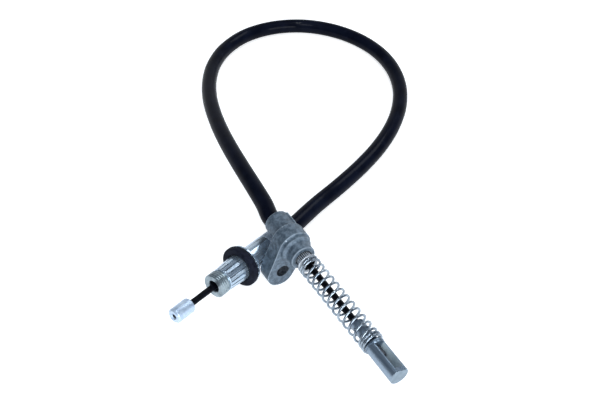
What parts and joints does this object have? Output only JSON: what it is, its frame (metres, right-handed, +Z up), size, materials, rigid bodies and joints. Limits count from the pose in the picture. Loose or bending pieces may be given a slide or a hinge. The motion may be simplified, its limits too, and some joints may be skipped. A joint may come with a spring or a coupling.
{
  "type": "parking brake cable",
  "caption": "Short looped brake cable: a black sheathed conduit with a washered end ferrule and nipple, and an eared bracket with a spring-loaded slotted rod.",
  "frame": {"origin": "bottom centre of the whole cable as it lies, on the surface that it lies on", "axes": "+Z up from that surface, +Y from the two ends towards the far side of the loop"},
  "size_m": [0.1202, 0.2876, 0.0287],
  "materials": {
    "cast_metal": "matt die-cast",
    "plated_steel": "bright zinc plate",
    "spring_steel": "zinc-plated spring wire",
    "rod_steel": "zinc plate over milled steel",
    "nipple_steel": "pale zinc plate",
    "crimp_steel": "pressed steel",
    "dark_steel": "dull steel",
    "coated_wire": "steel strand in a black plastic coat",
    "black_rubber": "matt rubber",
    "black_jacket": "glossy black plastic",
    "pale_liner": "slippery plastic liner"
  },
  "bodies": {
    "outer": {"conduit_jacket": "black_jacket", "conduit_armour": "dark_steel", "conduit_liner": "pale_liner", "inner_wire": "coated_wire", "bracket": "cast_metal", "guide_sleeve": "plated_steel", "return_spring": "spring_steel", "pull_ferrule": "plated_steel", "rubber_washer": "black_rubber", "crimp_sleeve": "crimp_steel"},
    "lever_end": {"lever_rod": "rod_steel", "lever_wire": "coated_wire", "wire_stop": "dark_steel"},
    "pull_end": {"nipple": "nipple_steel", "pull_wire": "coated_wire"}
  },
  "joints": [
    {"name": "lever_slide", "type": "slide", "parent": "outer", "child": "lever_end", "axis": [-0.5105, 0.8599, 0], "range_m": [0, 0.02], "stiffness_N_per_m": 2800, "deforming": ["return_spring"]},
    {"name": "pull_slide", "type": "slide", "parent": "outer", "child": "pull_end", "axis": [-0.6124, -0.7811, 0.1219], "range_m": [0, 0.02]}
  ],
  "couplings": [
    {"joint": "pull_slide", "follows": "lever_slide", "ratio": 1}
  ]
}
